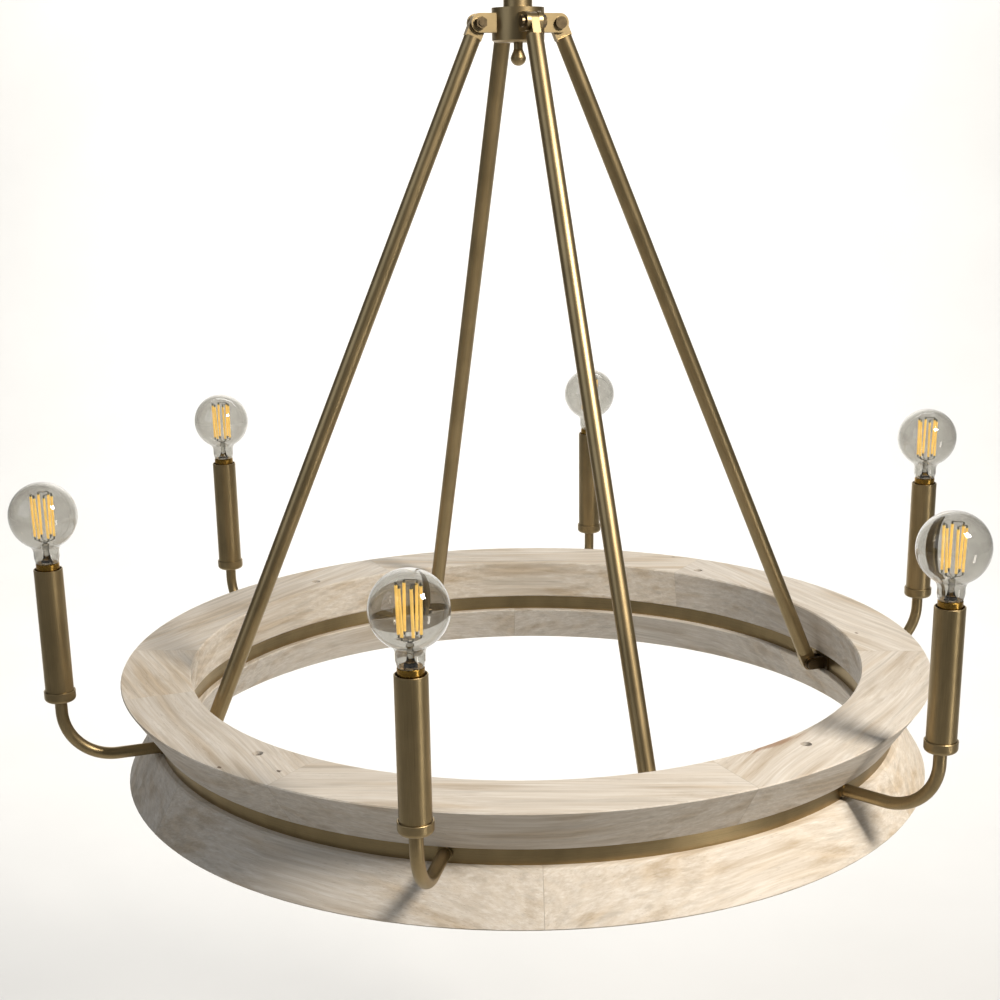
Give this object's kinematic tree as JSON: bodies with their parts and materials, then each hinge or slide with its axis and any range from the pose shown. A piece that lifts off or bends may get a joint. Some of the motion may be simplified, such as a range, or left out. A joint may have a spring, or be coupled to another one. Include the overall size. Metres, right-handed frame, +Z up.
{
  "type": "wagon wheel chandelier",
  "caption": "Whitewashed wooden ring in two tiers round a metal band, hung on four pinned rods, with candle lights on curved arms around it.",
  "frame": {"origin": "centre of the ceiling plate's top face, in the ceiling plane, on the fixture's axis", "axes": "+Z up into the ceiling; +X through light 1 and rod 1, which makes +X one of the ceiling plate's two slot directions"},
  "size_m": [0.814, 0.7118, 0.8352],
  "materials": {
    "zinc_plated_steel": "zinc plated",
    "green_screw": "green dyed earth screw",
    "brushed_bronze": "brushed champagne bronze plating",
    "ring_band_bronze": "rolled and brushed along its length",
    "turned_brass": "bare turned brass",
    "pivot_steel": "bronze tinted steel",
    "driftwood_upper": "whitewashed driftwood grey",
    "driftwood_lower": "whitewashed driftwood grey",
    "wood_screw_steel": "dark zinc",
    "wire_jacket": "insulated wire",
    "socket_ceramic": "unglazed white",
    "sleeve_bronze": "brushed champagne bronze tube",
    "bulb_brass": "rolled brass cap",
    "bulb_glass": "clear blown glass",
    "filament_amber": "amber coated LED filament"
  },
  "bodies": {
    "ceiling_mount": {"ceiling_crossbar": "zinc_plated_steel", "ground_screw": "green_screw", "threaded_nipple": "zinc_plated_steel", "nipple_locknut": "zinc_plated_steel", "canopy": "brushed_bronze", "canopy_nut": "brushed_bronze", "swivel_bush": "turned_brass", "swivel_collar": "brushed_bronze"},
    "swivel": {"swivel_fork": "brushed_bronze", "swivel_pin": "turned_brass"},
    "wheel": {"swivel_tongue": "brushed_bronze", "stem": "brushed_bronze", "hub": "brushed_bronze", "hub_cap": "brushed_bronze", "pivot_screws": "pivot_steel", "pivot_nuts": "pivot_steel", "rod_1": "brushed_bronze", "rod_2": "brushed_bronze", "rod_3": "brushed_bronze", "rod_4": "brushed_bronze", "rod_end_tongues": "brushed_bronze", "clevis_brackets": "brushed_bronze", "upper_wood_ring": "driftwood_upper", "lower_wood_ring": "driftwood_lower", "ring_channel": "ring_band_bronze", "ring_screws": "wood_screw_steel", "arm_1": "brushed_bronze", "arm_2": "brushed_bronze", "arm_3": "brushed_bronze", "arm_4": "brushed_bronze", "arm_5": "brushed_bronze", "arm_6": "brushed_bronze", "arm_lock_nuts": "zinc_plated_steel", "wiring": "wire_jacket", "candle_cups": "brushed_bronze", "candle_sockets": "socket_ceramic"},
    "sleeve_1": {"candle_sleeve_1": "sleeve_bronze"},
    "bulb_1": {"bulb_base_1": "bulb_brass", "bulb_glass_1": "bulb_glass", "bulb_filaments_1": "filament_amber"},
    "sleeve_2": {"candle_sleeve_2": "sleeve_bronze"},
    "bulb_2": {"bulb_base_2": "bulb_brass", "bulb_glass_2": "bulb_glass", "bulb_filaments_2": "filament_amber"},
    "sleeve_3": {"candle_sleeve_3": "sleeve_bronze"},
    "bulb_3": {"bulb_base_3": "bulb_brass", "bulb_glass_3": "bulb_glass", "bulb_filaments_3": "filament_amber"},
    "sleeve_4": {"candle_sleeve_4": "sleeve_bronze"},
    "bulb_4": {"bulb_base_4": "bulb_brass", "bulb_glass_4": "bulb_glass", "bulb_filaments_4": "filament_amber"},
    "sleeve_5": {"candle_sleeve_5": "sleeve_bronze"},
    "bulb_5": {"bulb_base_5": "bulb_brass", "bulb_glass_5": "bulb_glass", "bulb_filaments_5": "filament_amber"},
    "sleeve_6": {"candle_sleeve_6": "sleeve_bronze"},
    "bulb_6": {"bulb_base_6": "bulb_brass", "bulb_glass_6": "bulb_glass", "bulb_filaments_6": "filament_amber"}
  },
  "joints": [
    {"name": "swivel_turn", "type": "hinge", "parent": "ceiling_mount", "child": "swivel", "pos_m": [0, 0, -0.054], "axis": [0, 0, 1], "range_deg": [-170, 170]},
    {"name": "hang_straight_tilt", "type": "hinge", "parent": "swivel", "child": "wheel", "pos_m": [0, 0, -0.072], "axis": [1, 0, 0], "range_deg": [-30, 30]},
    {"name": "sleeve_1_lift", "type": "slide", "parent": "wheel", "child": "sleeve_1", "axis": [0, 0, 1], "range_m": [0, 0.015]},
    {"name": "sleeve_2_lift", "type": "slide", "parent": "wheel", "child": "sleeve_2", "axis": [0, 0, 1], "range_m": [0, 0.015]},
    {"name": "sleeve_3_lift", "type": "slide", "parent": "wheel", "child": "sleeve_3", "axis": [0, 0, 1], "range_m": [0, 0.015]},
    {"name": "sleeve_4_lift", "type": "slide", "parent": "wheel", "child": "sleeve_4", "axis": [0, 0, 1], "range_m": [0, 0.015]},
    {"name": "sleeve_5_lift", "type": "slide", "parent": "wheel", "child": "sleeve_5", "axis": [0, 0, 1], "range_m": [0, 0.015]},
    {"name": "sleeve_6_lift", "type": "slide", "parent": "wheel", "child": "sleeve_6", "axis": [0, 0, 1], "range_m": [0, 0.015]},
    {"name": "bulb_1_unscrew", "type": "slide", "parent": "wheel", "child": "bulb_1", "axis": [0, 0, 1], "range_m": [0, 0.02]},
    {"name": "bulb_2_unscrew", "type": "slide", "parent": "wheel", "child": "bulb_2", "axis": [0, 0, 1], "range_m": [0, 0.02]},
    {"name": "bulb_3_unscrew", "type": "slide", "parent": "wheel", "child": "bulb_3", "axis": [0, 0, 1], "range_m": [0, 0.02]},
    {"name": "bulb_4_unscrew", "type": "slide", "parent": "wheel", "child": "bulb_4", "axis": [0, 0, 1], "range_m": [0, 0.02]},
    {"name": "bulb_5_unscrew", "type": "slide", "parent": "wheel", "child": "bulb_5", "axis": [0, 0, 1], "range_m": [0, 0.02]},
    {"name": "bulb_6_unscrew", "type": "slide", "parent": "wheel", "child": "bulb_6", "axis": [0, 0, 1], "range_m": [0, 0.02]}
  ]
}
